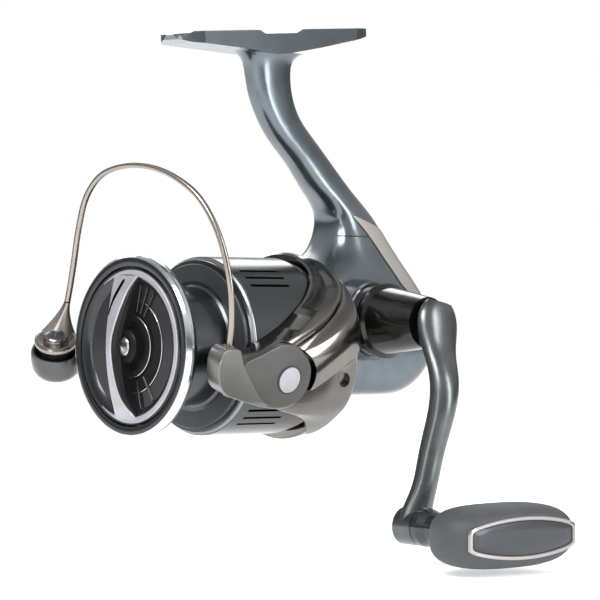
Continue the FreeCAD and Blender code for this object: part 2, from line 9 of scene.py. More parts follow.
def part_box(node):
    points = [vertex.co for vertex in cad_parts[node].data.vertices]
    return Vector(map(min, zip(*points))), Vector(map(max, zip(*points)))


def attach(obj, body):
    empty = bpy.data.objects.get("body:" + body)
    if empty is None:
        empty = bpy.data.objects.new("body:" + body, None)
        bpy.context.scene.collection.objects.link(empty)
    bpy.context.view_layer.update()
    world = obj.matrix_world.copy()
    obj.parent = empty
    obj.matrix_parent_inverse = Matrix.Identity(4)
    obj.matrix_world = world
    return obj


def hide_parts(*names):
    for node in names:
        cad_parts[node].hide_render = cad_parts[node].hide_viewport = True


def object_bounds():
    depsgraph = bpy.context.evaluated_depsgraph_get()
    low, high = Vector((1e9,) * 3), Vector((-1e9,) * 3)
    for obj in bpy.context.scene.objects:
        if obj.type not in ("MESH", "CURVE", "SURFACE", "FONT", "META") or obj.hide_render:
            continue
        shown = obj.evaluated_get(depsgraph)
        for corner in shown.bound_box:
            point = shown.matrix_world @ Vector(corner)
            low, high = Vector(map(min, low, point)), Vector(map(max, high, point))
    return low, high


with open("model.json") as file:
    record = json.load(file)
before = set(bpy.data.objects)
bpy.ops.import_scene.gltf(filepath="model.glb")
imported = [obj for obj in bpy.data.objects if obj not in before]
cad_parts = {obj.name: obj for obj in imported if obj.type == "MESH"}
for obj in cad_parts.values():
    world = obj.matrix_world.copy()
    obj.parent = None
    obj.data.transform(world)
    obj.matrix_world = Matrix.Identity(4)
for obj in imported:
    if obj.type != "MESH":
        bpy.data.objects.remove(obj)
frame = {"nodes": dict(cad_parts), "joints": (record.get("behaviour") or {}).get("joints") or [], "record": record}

CAD_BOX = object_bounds()
MM = 0.001
NODES = frame["nodes"]
JOINTS = {joint["name"]: joint for joint in frame["joints"]}


def middle(node):
    low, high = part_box(node)
    return (Vector(low) + Vector(high)) / 2


# Pieces are drawn in millimetres from the point of the spool shaft that is level with the crank.
# x runs back along the shaft, and the crank is on the side of negative y.
HOME = Vector((middle("drive_shaft").x, middle("main_shaft").y, middle("main_shaft").z))
BAIL_AXIS = Vector(JOINTS["bail_swing"]["axis"])
ROTOR_TILT = math.atan2(-BAIL_AXIS.z, -BAIL_AXIS.y)
PIVOT_X = (JOINTS["bail_swing"]["pos_m"][0] - HOME.x) / MM
KNOB = (Vector(JOINTS["knob_spin"]["pos_m"]) - HOME) / MM


def at(x, y, z):
    return HOME + Vector((x, y, z)) * MM


def on_rotor(x, y, z):
    c, s = math.cos(ROTOR_TILT), math.sin(ROTOR_TILT)
    return at(x, y * c - z * s, y * s + z * c)


def across_arms():
    """Direction from arm to arm through the rotor, on the bail pivot's axis."""
    return on_rotor(0, 1, 0) - on_rotor(0, 0, 0)


# ---- materials -----------------------------------------------------------------------------

PALE_EDGE_AT, PALE_EDGE_SOFT = 0.62, 0.05  # pointiness at which an edge takes the paler edge colour, and how gradually


def new_material(name):
    mat = bpy.data.materials.new(name)
    mat.use_nodes = True
    tree = mat.node_tree
    return mat, tree, tree.nodes["Principled BSDF"]


def link(tree, a, b):
    tree.links.new(a, b)


def noise(tree, scale, detail=3.0, stretch=(1, 1, 1)):
    coords = tree.nodes.new("ShaderNodeTexCoord")
    mapping = tree.nodes.new("ShaderNodeMapping")
    mapping.inputs["Scale"].default_value = stretch
    node = tree.nodes.new("ShaderNodeTexNoise")
    node.inputs["Scale"].default_value = scale
    node.inputs["Detail"].default_value = detail
    link(tree, coords.outputs["Object"], mapping.inputs["Vector"])
    link(tree, mapping.outputs["Vector"], node.inputs["Vector"])
    return node


def ramp(tree, source, low, high, start=0.35, end=0.65):
    node = tree.nodes.new("ShaderNodeValToRGB")
    node.color_ramp.elements[0].position = start
    node.color_ramp.elements[1].position = end
    node.color_ramp.elements[0].color = low
    node.color_ramp.elements[1].color = high
    link(tree, source, node.inputs["Fac"])
    return node


def grey(value):
    return (value, value, value, 1.0)


def tint(color, factor):
    return (color[0] * factor, color[1] * factor, color[2] * factor, 1.0)


def surface(name, color, rough, metallic=1.0, grain=900.0, stretch=(1, 1, 1), spread=0.012,
            variation=0.08, bump=0.002, coat=0.0, coat_rough=0.05, pale_edge=None):
    """Metal, paint, rubber or plastic with mottled colour, uneven roughness and a paler colour on sharp edges."""
    mat, tree, shader = new_material(name)
    shader.inputs["Metallic"].default_value = metallic
    shader.inputs["Coat Weight"].default_value = coat
    shader.inputs["Coat Roughness"].default_value = coat_rough
    fine = noise(tree, grain, 4.0, stretch)
    broad = noise(tree, grain * 0.04, 2.0)
    dull, bright = tint(color, 1 - variation), tint(color, 1 + variation)
    out = ramp(tree, broad.outputs["Fac"], dull, bright).outputs["Color"]
    # sharp edges, found by pointiness, are given a paler colour
    if pale_edge:
        geometry = tree.nodes.new("ShaderNodeNewGeometry")
        edge = ramp(tree, geometry.outputs["Pointiness"], grey(0.0), grey(1.0),
                    PALE_EDGE_AT - PALE_EDGE_SOFT, PALE_EDGE_AT + PALE_EDGE_SOFT)
        mix = tree.nodes.new("ShaderNodeMix")
        mix.data_type = "RGBA"
        mix.inputs["B"].default_value = (*pale_edge, 1.0)
        link(tree, edge.outputs["Color"], mix.inputs["Factor"])
        link(tree, out, mix.inputs["A"])
        out = mix.outputs["Result"]
    link(tree, out, shader.inputs["Base Color"])
    smooth, dry = grey(max(rough - spread, 0.02)), grey(rough + spread)
    uneven = ramp(tree, fine.outputs["Fac"], smooth, dry, 0.3, 0.7)
    link(tree, uneven.outputs["Color"], shader.inputs["Roughness"])
    height = tree.nodes.new("ShaderNodeBump")
    height.inputs["Strength"].default_value = bump
    height.inputs["Distance"].default_value = 0.0002
    link(tree, fine.outputs["Fac"], height.inputs["Height"])
    link(tree, height.outputs["Normal"], shader.inputs["Normal"])
    return mat


PAINT = surface("blue_grey_paint", (0.125, 0.147, 0.163), 0.24, 0.85, 4000, coat=0.25,
                coat_rough=0.06)
GUARD = surface("champagne_metal", (0.62, 0.59, 0.54), 0.24, 1.0, 600, (1, 12, 1))
SEAT = surface("turned_seat_metal", (0.20, 0.21, 0.22), 0.2, 1.0, 500, (1, 30, 1),
               pale_edge=(0.6, 0.6, 0.6))
STEEL = surface("ground_steel", (0.55, 0.55, 0.56), 0.25, 1.0, 500, (20, 1, 1))
DARK_STEEL = surface("dark_screw_steel", (0.17, 0.17, 0.17), 0.22, 1.0, 900,
                     pale_edge=(0.55, 0.55, 0.54))
INNER = surface("moulded_inner_plastic", (0.03, 0.03, 0.032), 0.5, 0.0, 1500, bump=0.1)
GEAR = surface("machined_alloy", (0.56, 0.56, 0.58), 0.3, 1.0, 400, (1, 20, 1))
BRASS = surface("machined_brass", (0.66, 0.48, 0.22), 0.28, 1.0, 500, (20, 1, 1))
GUNMETAL = surface("crank_gunmetal", (0.115, 0.124, 0.126), 0.3, 0.9, 6000, coat=0.1)
COLLAR = surface("collar_gloss", (0.035, 0.036, 0.034), 0.16, 0.9, 6000, coat=0.2)
RUBBER = surface("grip_rubber", (0.052, 0.056, 0.062), 0.62, 0.0, 5000, spread=0.08, bump=0.25)
NECK = surface("neck_gloss", (0.02, 0.022, 0.024), 0.16, 0.2, 2000, coat=0.6)
SILVER = surface("silver_frame", (0.36, 0.35, 0.34), 0.32, 1.0, 700, (1, 1, 14))
PANEL = surface("dark_panel", (0.035, 0.038, 0.046), 0.38, 0.3, 3000, coat=0.2)
SPOOL = surface("spool_gunmetal", (0.07, 0.075, 0.077), 0.22, 0.95, 500, (0.4, 1, 1), coat=0.1)
LIP = surface("lip_silver", (0.66, 0.69, 0.75), 0.14, 1.0, 4000)
FELT = surface("washer_felt", (0.05, 0.05, 0.05), 0.8, 0.0, 3000, bump=0.5)
BLACK = surface("drag_black", (0.028, 0.03, 0.032), 0.26, 0.7, 2500, coat=0.3)
TRIM = surface("trim_silver", (0.38, 0.37, 0.405), 0.5, 0.7, 4000)
ROTOR = surface("rotor_gunmetal", (0.17, 0.16, 0.15), 0.14, 1.0, 2500, coat=0.3,
                pale_edge=(0.6, 0.57, 0.53))
HOLDER = surface("holder_satin", (0.20, 0.205, 0.19), 0.32, 0.95, 2500, pale_edge=(0.5, 0.49, 0.46))
ARM_DARK = surface("bail_arm_dark", (0.10, 0.10, 0.098), 0.3, 0.9, 2500, pale_edge=(0.35, 0.34, 0.33))
WIRE = surface("wire_titanium", (0.30, 0.27, 0.245), 0.26, 1.0, 1500, (1, 1, 6))
CAP = surface("cap_silver", (0.60, 0.60, 0.64), 0.3, 1.0, 4000, bump=0.01)
OLIVE = surface("olive_wall", (0.05, 0.053, 0.046), 0.4, 0.8, 4000)
SEAM = surface("seam_shadow", (0.01, 0.01, 0.011), 0.6, 0.0, 2500)
# near-black, weakly reflecting colour: painted shade for the drag knob's recess, the bar's right wall and its slot
# floor, and also the hub's own black
POCKET_BLACK_AND_SHADE = surface("pocket_black_and_painted_shade", (0.007, 0.007, 0.008), 0.4, 0.0, 2500)
POCKET_BLACK_AND_SHADE.node_tree.nodes["Principled BSDF"].inputs["Specular IOR Level"].default_value = 0.12
HOLDER_FLAT = surface("holder_flat_grey", (0.12, 0.12, 0.117), 0.36, 0.8, 2500)
COVER_METAL = surface("cover_warm_grey", (0.15, 0.143, 0.134), 0.22, 1.0, 2500,
                      pale_edge=(0.5, 0.48, 0.45))
RING_METAL = surface("bright_grey_ring", (0.20, 0.215, 0.215), 0.3, 1.0, 900)
FLANGE = surface("flange_matte_grey", (0.05, 0.055, 0.06), 0.45, 0.5, 2500)
ROLLER = surface("roller_black", (0.02, 0.02, 0.02), 0.14, 0.2, 1500, coat=0.5)

SLOT_MATERIALS = {
    "body_paint": PAINT, "guard_metal": GUARD, "seat_metal": SEAT, "bearing_steel": STEEL,
    "screw_steel": DARK_STEEL, "inner_plastic": INNER, "gear_alloy": GEAR, "gear_brass": BRASS,
    "crank_gunmetal": GUNMETAL, "grip_rubber": RUBBER, "neck_gloss": NECK, "knob_silver": SILVER,
    "knob_panel_dark": PANEL, "spool_gunmetal": SPOOL, "lip_silver": LIP, "washer_felt": FELT,
    "drag_black": BLACK, "trim_silver": TRIM, "rotor_gunmetal": ROTOR, "holder_metal": HOLDER,
    "wire_titanium": WIRE, "cap_silver": CAP, "roller_black": ROLLER,
}


def paint_nodes():
    """Gives every CAD node the material of its slot."""
    for part in frame["record"]["subparts"]:
        mesh = NODES[part["node"]].data
        mesh.materials.clear()
        mesh.materials.append(SLOT_MATERIALS[part["material_slot"]])
    NODES["handle_collar"].data.materials[0] = COLLAR


# ---- shape helpers ---------------------------------------------------------------------------

EDGE_ANGLE = 32.0                # edges sharper than this stay sharp, and are the ones softened
SHAFT = (1, 0, 0)


def smooth_line(points, count):
    """count points spread evenly by index along a smooth line through the given ones."""
    out = []
    last = len(points) - 1
    for i in range(count):
        t = i * last / (count - 1)
        k = min(int(t), last - 1)
        f = t - k
        a, b = points[max(k - 1, 0)], points[k]
        c, d = points[k + 1], points[min(k + 2, last)]
        out.append(tuple(
            0.5 * (2 * q + (r - p) * f + (2 * p - 5 * q + 4 * r - s) * f * f
                   + (3 * q - p - 3 * r + s) * f ** 3)
            for p, q, r, s in zip(a, b, c, d)))
    return out


def smooth_loop(points, count):
    """About count points along a smooth closed loop through the given ones."""
    steps = count * (len(points) + 2) // len(points) + 1
    line = smooth_line([points[-1]] + points + points[:2], steps)
    step = (len(points) + 2) / (len(line) - 1)
    return [p for i, p in enumerate(line) if 1 <= i * step < len(points) + 1 - step * 0.4]


def circle(count, start=0.0):
    """Cosine and sine at even steps round a circle."""
    angles = [2 * math.pi * (i + start) / count for i in range(count)]
    return [(math.cos(a), math.sin(a)) for a in angles]


def squared(c, s, power):
    """How far out a squarer round lies than the circle, at the circle's point (c, s)."""
    return (abs(c) ** power + abs(s) ** power) ** (-1 / power)


def finish_mesh(name, verts, faces, mats, body, indices=None, sharp=EDGE_ANGLE, bevel=0.0,
                steps=3):
    """Makes an object from points in metres, sends it with its body, and softens its edges."""
    mesh = bpy.data.meshes.new(name)
    mesh.from_pydata([tuple(v) for v in verts], [], faces)
    for mat in mats if isinstance(mats, list) else [mats]:
        mesh.materials.append(mat)
    if indices:
        mesh.polygons.foreach_set("material_index", indices)
    work = bmesh.new()
    work.from_mesh(mesh)
    bmesh.ops.recalc_face_normals(work, faces=work.faces)
    work.to_mesh(mesh)
    work.free()
    mesh.shade_smooth()
    mesh.set_sharp_from_angle(angle=math.radians(sharp))
    obj = bpy.data.objects.new(name, mesh)
    bpy.context.scene.collection.objects.link(obj)
    if bevel:
        soften(obj, bevel, steps)
    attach(obj, body)
    return obj


def soften(obj, width, steps=3):
    mod = obj.modifiers.new("edges", "BEVEL")
    mod.width = width * MM
    mod.segments = steps
    mod.limit_method = "ANGLE"
    mod.angle_limit = math.radians(EDGE_ANGLE)
    mod.harden_normals = True


def skin(name, rings, mats, body, closed=True, indices=None, **more):
    """Surface through a row of rings with the same number of points; closed rings get end caps."""
    count = len(rings[0])
    verts = [v for ring in rings for v in ring]
    faces, kinds = [], []
    for i in range(len(rings) - 1):
        for j in range(count):
            k = (j + 1) % count
            faces.append((i * count + j, i * count + k, (i + 1) * count + k, (i + 1) * count + j))
            kinds.append(indices[j] if indices else 0)
    if closed:
        last = (len(rings) - 1) * count
        faces += [tuple(range(count)), tuple(range(last, last + count))]
        kinds += [0, 0]
    return finish_mesh(name, verts, faces, mats, body, kinds, **more)


def turned(name, profile, mats, body, centre, axis, count=96, **more):
    """Turned piece from (distance along the axis, radius) points; a closed profile is a ring."""
    axis = Vector(axis).normalized()
    side = axis.cross(Vector((0, 0, 1)))
    side = side.normalized() if side.length > 0.2 else axis.cross(Vector((0, 1, 0))).normalized()
    other = axis.cross(side)
    rings = [[centre + (axis * along + (side * c + other * s) * radius) * MM
              for c, s in circle(count)] for along, radius in profile]
    return skin(name, rings, mats, body, closed=profile[0] != profile[-1], **more)


def on_shaft(name, profile, mats, body, count=128, **more):
    """Turned piece round the spool shaft."""
    return turned(name, profile, mats, body, at(0, 0, 0), SHAFT, count, **more)


def slab(name, outline, y0, y1, place, mats, body, **more):
    """Flat plate from an (x, z) outline in mm, between two y planes."""
    rings = [[place(x, y, z) for x, z in outline] for y in (y0, y1)]
    return skin(name, rings, mats, body, **more)


def bar(name, stations, place, mats, body, count=20, square=2.0, **more):
    """Rounded bar through (x, y, z, half width, half height) stations, with its ends closed."""
    centres = [Vector(s[:3]) for s in stations]
    rings = []
    for i, station in enumerate(stations):
        way = (centres[min(i + 1, len(centres) - 1)] - centres[max(i - 1, 0)]).normalized()
        across = way.cross(Vector((0, 1, 0)))
        across = across.normalized() if across.length > 0.1 else Vector((1, 0, 0))
        out = way.cross(across)
        ring = []
        for c, s in circle(count):
            fat = squared(c, s, square)
            spot = centres[i] + across * (station[4] * c * fat) + out * (station[3] * s * fat)
            ring.append(place(*spot))
        rings.append(ring)
    return skin(name, rings, mats, body, **more)


def tube_along(name, points, radii, place, mats, body, count=20):
    """Round bar of changing radius along a line."""
    line = [Vector(p) for p in points]
    rings = []
    side = Vector((1, 0, 0))
    for i, centre in enumerate(line):
        way = (line[min(i + 1, len(line) - 1)] - line[max(i - 1, 0)]).normalized()
        side = (side - way * side.dot(way)).normalized()
        other = way.cross(side)
        rings.append([place(*(centre + (side * c + other * s) * radii[i]))
                      for c, s in circle(count)])
    return skin(name, rings, mats, body)


def carve(obj, cutter):
    """Cuts cutter out of obj, and then drops the cutter."""
    mod = obj.modifiers.new("carve", "BOOLEAN")
    mod.operation = "DIFFERENCE"
    mod.object = cutter
    mod.solver = "EXACT"
    graph = bpy.context.evaluated_depsgraph_get()
    mesh = bpy.data.meshes.new_from_object(obj.evaluated_get(graph))
    obj.modifiers.clear()
    obj.data = mesh
    mesh.set_sharp_from_angle(angle=math.radians(EDGE_ANGLE))
    bpy.data.objects.remove(cutter)


# ---- housing ---------------------------------------------------------------------------------

GUARD_LINE = [                   # height, middle x, angles of the near and far edges from the rear
    (36.2, 7.0, 108, 100), (34.7, 7.4, 100, 74), (32.3, 8.2, 92, 40), (30.4, 8.8, 88, 26),
    (27.5, 9.2, 81, 20), (25.0, 9.4, 76, 12), (22.0, 9.2, 69, 0), (18.0, 9.0, 62, -12),
    (14.6, 9.0, 54, -24), (10.0, 9.0, 47, -30), (5.0, 9.0, 43, -32), (0.0, 9.0, 41, -32),
    (-3.0, 9.0, 38, -30),
]
GUARD_ROWS, GUARD_COLUMNS = 44, 18
GUARD_TOP, GUARD_UNDER = 0.28, -0.35    # the strip's faces, over and under the housing's skin
CAST_FROM = 60                   # rays onto the housing start this far from its middle
SEAM_RADIUS, SEAM_DEPTH = 0.17, -0.05
SEAM_AHEAD = 1.2                 # degrees from the guard's near edge to the seam beside it
PLATE_SEAM_X, PLATE_SEAM_Z = 8.6, 30.6
PLATE_SEAM_ANGLES = range(88, 150, 3)


def housing_skin():
    """Tree of the outer faces of the gear housing, to lay thin trim on."""
    verts, faces = [], []
    for node in ("frame_housing", "side_plate"):
        obj = NODES[node]
        start = len(verts)
        verts += [obj.matrix_world @ v.co for v in obj.data.vertices]
        faces += [tuple(start + i for i in face.vertices) for face in obj.data.polygons]
    return BVHTree.FromPolygons(verts, faces)


def on_housing(tree, centre_x, z, angle, lift):
    """Point over the housing's outside, from its height and its angle from rear to crank side."""
    a = math.radians(angle)
    way = Vector((math.cos(a), -math.sin(a), 0))
    hit = tree.ray_cast(at(centre_x, 0, z) + way * CAST_FROM * MM, -way)[0]
    return hit + way * lift * MM


def rear_guard():
    """Thin champagne strip laid round the back of the housing, and the seams near it."""
    tree = housing_skin()
    outer, under = [], []
    for z, x, near, far in smooth_line(GUARD_LINE, GUARD_ROWS):
        for j in range(GUARD_COLUMNS):
            angle = near + (far - near) * j / (GUARD_COLUMNS - 1)
            outer.append(on_housing(tree, x, z, angle, GUARD_TOP))
            under.append(on_housing(tree, x, z, angle, GUARD_UNDER))
    below = len(outer)
    faces = []
    for i in range(GUARD_ROWS - 1):
        for j in range(GUARD_COLUMNS - 1):
            a = i * GUARD_COLUMNS + j
            face = (a, a + 1, a + GUARD_COLUMNS + 1, a + GUARD_COLUMNS)
            faces += [face, tuple(v + below for v in face)]
    last = (GUARD_ROWS - 1) * GUARD_COLUMNS
    rim = [i * GUARD_COLUMNS for i in range(GUARD_ROWS)]
    rim += [last + j for j in range(1, GUARD_COLUMNS)]
    rim += [(i + 1) * GUARD_COLUMNS - 1 for i in range(GUARD_ROWS - 2, -1, -1)]
    rim += list(range(GUARD_COLUMNS - 2, 0, -1))
    for a, b in zip(rim, rim[1:] + rim[:1]):
        faces.append((a, b, b + below, a + below))
    guard = finish_mesh("rear_guard_strip", outer + under, faces, GUARD, "frame")
    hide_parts("rear_guard")
    beside = smooth_line(GUARD_LINE[1:], 40)
    seam("guard_seam", tree, [(x, z, near + SEAM_AHEAD) for z, x, near, _ in beside])
    seam("plate_seam", tree, [(PLATE_SEAM_X, PLATE_SEAM_Z, a) for a in PLATE_SEAM_ANGLES])


def seam(name, tree, stops):
    """Fine dark line laid on the housing through (middle x, height, angle) stops."""
    hits = [on_housing(tree, x, z, a, SEAM_DEPTH) for x, z, a in stops]
    line = [tuple((p - HOME) / MM) for p in hits]
    tube_along(name, line, [SEAM_RADIUS] * len(line), at, SEAM, "frame", 8)


# ---- rotor -----------------------------------------------------------------------------------

# The points of the two sets of lines below are (distance along the shaft, radius, angle from
# level) in mm and degrees. They were read off the photo with a fitted camera, and rounded.
BAND = [                         # lines along the swept band from its front edge to the cover line
    [(-52.6, 25.2, 10.5), (-49, 25.2, 15), (-45.5, 25.2, 18.5), (-40.3, 25.2, 24),
     (-34.8, 25.2, 31), (-29.6, 25.2, 39.5), (-25.4, 25.2, 47), (-22, 25.2, 55),
     (-19.6, 25.2, 62), (-18, 25, 69), (-16.9, 25, 78), (-16.4, 25, 87)],
    [(-52.4, 30.5, 8.6), (-48.6, 31, 12.1), (-45.1, 31, 15.1), (-39.7, 31, 19.4),
     (-34.1, 31, 25), (-28.9, 30.8, 32), (-24.4, 30.2, 39.2), (-20.6, 29.2, 48),
     (-18.4, 27.8, 56), (-17, 26.8, 64), (-16, 26, 75), (-15.6, 25.7, 87)],
    [(-52.4, 30.8, 7.8), (-48, 31.4, 11.2), (-43.6, 31.4, 15), (-37.6, 31.4, 20.4),
     (-31.4, 31.3, 26.4), (-26, 31.2, 33), (-21.6, 30.9, 40), (-18.2, 30, 48),
     (-16.1, 28.6, 56), (-15, 27.4, 64), (-14.4, 26.4, 75), (-14.2, 25.9, 87)],
    [(-52.2, 30.9, 6.6), (-47.6, 31.4, 9.6), (-42, 31.6, 13.4), (-35.6, 31.6, 19),
     (-29, 31.6, 25.2), (-23.6, 31.5, 32), (-19.2, 31.3, 40), (-16.2, 30.6, 48),
     (-14.8, 29.2, 56), (-14.1, 28, 64), (-13.7, 26.8, 75), (-13.6, 26, 87)],
    [(-51.6, 30.6, 5.2), (-46, 30.6, 7.5), (-40, 30.4, 11), (-34.4, 30.2, 16),
     (-29.2, 30, 21.4), (-24.4, 29.8, 27.2), (-19.8, 29.7, 34), (-15.9, 29.7, 41),
     (-13.9, 29, 50), (-13.4, 28, 60), (-13.2, 27, 72), (-13.2, 26, 86)],
    [(-51, 30.8, 3.4), (-45, 31, 4), (-38, 31.2, 7), (-31.6, 31.4, 12.4), (-27, 31.5, 16.8),
     (-22.2, 31.5, 22), (-17.8, 31.3, 28), (-14.2, 31, 34), (-13.2, 30.2, 43), (-13.1, 29, 54),
     (-13, 27.6, 68), (-13, 26, 84)],
    [(-50, 30.6, 1.4), (-44, 31, 0), (-37, 31.3, 1), (-30.6, 31.6, 4), (-25.2, 31.8, 8.6),
     (-20.4, 31.8, 13.6), (-16.4, 31.6, 19), (-13.4, 31.2, 25.5), (-13, 30.4, 35),
     (-13, 29.2, 48), (-13, 27.6, 64), (-13, 26, 82)],
    [(-49, 30.4, -1), (-43, 30.6, -5), (-36, 30.8, -7.6), (-29.4, 30.9, -5.8),
     (-24.6, 31, -0.6), (-20.6, 31, 4.4), (-17, 31, 8.6), (-13.8, 30.8, 13.6),
     (-12.9, 30.4, 24), (-12.9, 29.2, 38), (-12.9, 27.4, 56), (-12.9, 25.9, 78)],
]
COVER = [                        # lines along the cover below the band, down to its lower edge
    [(-46, 29, -1), (-39, 29.2, -6), (-31, 29.4, -7.6), (-26, 29.5, -4.8), (-22.2, 29.5, 0),
     (-18.6, 29.5, 4.4), (-15.4, 29.5, 8), (-12.9, 29.4, 12)],
    [(-46, 29, -5), (-39.4, 29.4, -10.8), (-32.5, 29.9, -13.4), (-26, 30.3, -12.4),
     (-20.6, 30.5, -9), (-16.6, 30.4, -6), (-14, 30.2, -3.6), (-12.9, 29.9, -1.4)],
    [(-46, 28.9, -7), (-40.6, 29.4, -14.4), (-34.4, 29.8, -18.4), (-28.2, 30.1, -20),
     (-22.2, 30.3, -18.8), (-17.2, 30.3, -16.8), (-14, 30, -15.8), (-12.9, 29.6, -15.4)],
    [(-46, 28.7, -7.8), (-41.2, 28.9, -15), (-35, 29, -19.6), (-28.6, 28.9, -23),
     (-22.6, 28.9, -25.2), (-17.6, 28.7, -26.8), (-14.4, 28.4, -28), (-12.9, 28, -29)],
    [(-46, 28.4, -8.4), (-41.4, 28.4, -15.6), (-35, 28.4, -20.4), (-28.6, 28, -24.6),
     (-23.4, 27.4, -29.6), (-20, 26.8, -36), (-17, 26.3, -44), (-13, 25.9, -54)],
]
SAMPLES = 60                     # stations along a line
BETWEEN = 4                      # stations from one line to the next
ARM_INNER = 24.95                # radius of the arms' inner faces
FAR_ARM_DROP = 0.55              # the far arm's upper lines have this share of the angles above
HOLDER_SEAT = 28.5               # distance from the shaft at which the bail's parts start
HOLDER_ROOM = 8.9                # radius cut clear round the bail pivot
PLATE_ROOM = 1.045               # growth of the holder plate's outline where the band is cut
CUT_TO = 40                      # cutters end here, outside the arms
SCREW_X, SCREW_Z = -16.9, -0.6
SCREW_HOLE, SCREW_HOLE_Y = 1.9, (28.6, 34)
ARM_EDGE = 38                    # edges of the arms sharper than this stay sharp
ROTOR_CUP = [                    # x, radius
    (-38.5, 3.7), (-38.5, 21.6), (-37.9, 22.4), (-37.2, 22.6), (-16.6, 22.6), (-15.9, 23.2),
    (-15.7, 25.2), (-15.2, 25.7), (-13.5, 25.7), (-13.05, 25.2), (-13.0, 21.0), (-36.4, 21.0),
    (-36.4, 3.7), (-38.5, 3.7),
]


def on_arm(side, x, radius, angle):
    """Point on an arm from its distance along the shaft, radius and angle from level."""
    if side > 0 and angle > 0:
        angle *= FAR_ARM_DROP
    a = math.radians(angle)
    return on_rotor(x, side * radius * math.cos(a), radius * math.sin(a))


def rail_body(name, rails, side, mat):
    """Closed body whose outer face runs through the rails, and its inner one round the shaft."""
    lines = [smooth_line(rail, SAMPLES) for rail in rails]
    rings = []
    for i in range(SAMPLES):
        across = [line[i] for line in lines]
        outer = [across[0]] + smooth_line(across[1:], BETWEEN * (len(across) - 2) + 1)
        back = [(x, ARM_INNER, a) for x, _, a in (outer[-1], outer[0])]
        rings.append([on_arm(side, *p) for p in outer + back])
    return skin(name, rings, mat, "rotor", sharp=ARM_EDGE)


def pivot_circle(radius):
    """Outline of a round about the bail pivot."""
    angles = [a / 24 * math.pi for a in range(48)]
    return [(PIVOT_X + radius * math.cos(a), radius * math.sin(a)) for a in angles]


def arm_cutter(outline, side):
    return slab("cutter", outline, side * HOLDER_SEAT, side * CUT_TO, on_rotor, ROTOR, "rotor")


def rotor():
    cup = on_shaft("rotor_cup", ROTOR_CUP, ROTOR, "rotor")
    for side, place in ((-1, "near"), (1, "far")):
        band = rail_body("rotor_band_" + place, BAND, side, ROTOR)
        carve(band, arm_cutter(pivot_circle(HOLDER_ROOM), side))
        if side < 0:
            plate = [(PIVOT_X + PLATE_ROOM * (x - PIVOT_X), PLATE_ROOM * z)
                     for x, z in smooth_loop(HOLDER_PLATE, 60)]
            carve(band, arm_cutter(plate, side))
        cover = rail_body("rotor_cover_" + place, COVER, side, COVER_METAL)
        carve(cover, arm_cutter(pivot_circle(HOLDER_ROOM), side))
        hole = [(side * y, SCREW_HOLE) for y in SCREW_HOLE_Y]
        screw_at = on_rotor(SCREW_X, 0, SCREW_Z)
        carve(cover, turned("cutter", hole, ROTOR, "rotor", screw_at, across_arms(), 32))
    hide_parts("rotor")
    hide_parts("arm_cover_wire_side")
    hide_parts("arm_cover_roller_side")


# ---- bail --------------------------------------------------------------------------------------

HOLDER_PLATE = [                 # (x, z) outlines of the wire holder, about the shaft
    (-54.2, 3.4), (-48.3, 7.0), (-42.7, 9.4), (-37.8, 9.4), (-33.6, 6.9), (-30.8, 3.4),
    (-30.2, -0.2), (-30.9, -3.4), (-33.4, -6.2), (-38.0, -7.7), (-43.0, -7.0), (-48.0, -4.6),
]
HOLDER_RIM = [
    (-56.0, 3.0), (-50.0, 4.0), (-40.0, 3.0), (-33.6, -3.0), (-33.4, -6.8), (-38.0, -8.3),
    (-43.6, -7.9), (-49.0, -6.7), (-55.0, -5.2), (-58.6, -3.6),
]
HOLDER_SHOE = [
    (-54.4, 3.4), (-56.2, 6.3), (-57.3, 8.4), (-59.8, 8.7), (-62.2, 8.3), (-63.4, 5.4),
    (-62.8, 1.2), (-61.4, -1.8), (-58.6, -3.9), (-53.4, -5.4), (-48.8, -6.3), (-44.4, -6.9),
    (-47.6, -4.2), (-50.6, -1.0),
]
PLATE_Y, RIM_Y, SHOE_Y = (-30.9, -28.7), (-30.5, -28.8), (-31.9, -26.4)
SOCKET = [(-58.55, -28.6, 8.2), (-58.6, -28.6, 8.85)]
PIVOT_GAP = [(-31.02, 4.0), (-30.7, 4.0), (-30.7, 3.4), (-31.02, 3.4), (-31.02, 4.0)]
WIRE_PATH = [                    # from the holder over the top to the roller end
    (-58.6, -28.6, 7.2), (-59.5, -28.4, 16.0), (-60.8, -26.2, 26.0), (-62.4, -21.0, 36.0),
    (-63.8, -13.0, 43.4), (-65.0, -4.0, 46.7), (-66.0, 6.0, 47.4), (-66.6, 16.5, 45.3),
    (-67.0, 25.6, 40.4), (-67.1, 30.4, 33.0), (-67.1, 31.3, 24.0), (-66.8, 31.1, 14.0),
    (-66.6, 31.1, 8.0), (-66.6, 31.1, 3.4),
]
WIRE_RADIUS, WIRE_STEPS = 0.85, 120
LEVER = [                        # x, y, z, half width, half height
    (-66.0, 29.6, -15.2, 3.0, 2.6), (-63.2, 29.7, -13.6, 2.9, 3.8),
    (-59.4, 29.8, -11.2, 2.4, 5.0), (-54.0, 29.9, -7.4, 1.9, 6.0),
    (-48.0, 30.1, -3.6, 1.6, 7.0), (-43.0, 30.2, -1.4, 1.5, 8.0),
]
LEVER_ROOM = [(-3.0, 6.2), (12.0, 6.2)]
DISC_RADIUS, DISC_Y = 9.0, (28.8, 31.5)
ARM_END_BOWL = [                 # along the roller's axis, radius
    (-7.6, 0.02), (-7.5, 2.6), (-7.0, 4.5), (-6.0, 5.9), (-4.4, 6.7), (-2.0, 6.95), (0.2, 6.85),
    (0.9, 6.6), (1.0, 6.3), (0.5, 5.9), (-3.1, 5.7), (-3.1, 0.02),
]
